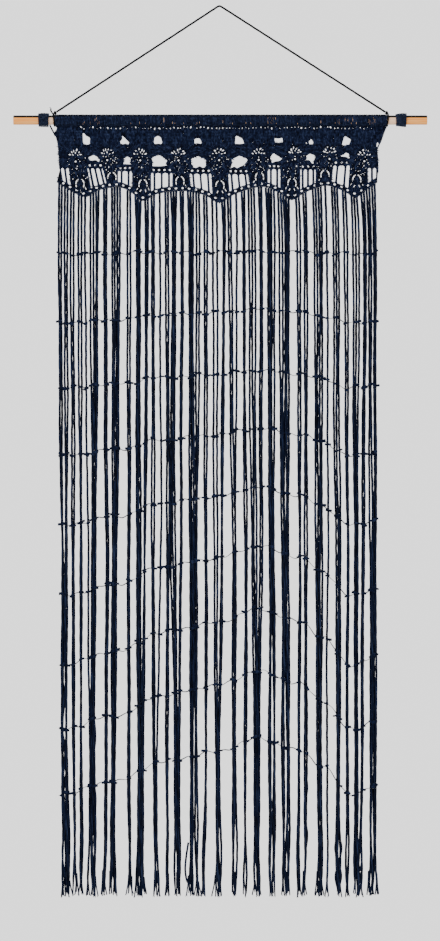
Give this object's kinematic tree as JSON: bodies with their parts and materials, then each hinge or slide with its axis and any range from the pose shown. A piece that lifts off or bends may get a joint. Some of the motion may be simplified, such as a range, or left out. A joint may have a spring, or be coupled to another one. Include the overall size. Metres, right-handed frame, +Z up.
{
  "type": "macrame door curtain with hanging rod",
  "caption": "Navy string door curtain: a crocheted lace border on a wooden hanging rod, with long yarn strands tied across by fine threads, hung from one cord.",
  "frame": {"origin": "centre of the hanging cord at its highest point, where a nail or hook holds it", "axes": "+Z up, +X along the rod to the viewer's right, -Y towards the viewer"},
  "size_m": [1.064, 0.0348, 2.2839],
  "materials": {
    "rod_wood": "sanded, unvarnished",
    "navy_lace": "crocheted cotton yarn, matt",
    "navy_string": "soft twisted cotton yarn, matt",
    "navy_wrap": "wound cotton yarn, matt",
    "navy_thread": "fine thread, matt",
    "black_cord": "twisted cord, matt"
  },
  "bodies": {
    "root": {"rod": "rod_wood", "header": "navy_lace", "string_curtain": "navy_string", "row_thread_1": "navy_thread", "row_thread_2": "navy_thread", "row_thread_3": "navy_thread", "row_thread_4": "navy_thread", "row_thread_5": "navy_thread", "row_thread_6": "navy_thread", "row_thread_7": "navy_thread", "row_thread_8": "navy_thread", "row_thread_9": "navy_thread", "left_wrap": "navy_wrap", "right_wrap": "navy_wrap", "left_tie": "navy_wrap", "left_knot": "black_cord", "right_knot": "black_cord", "hanging_cord": "black_cord"}
  },
  "joints": []
}
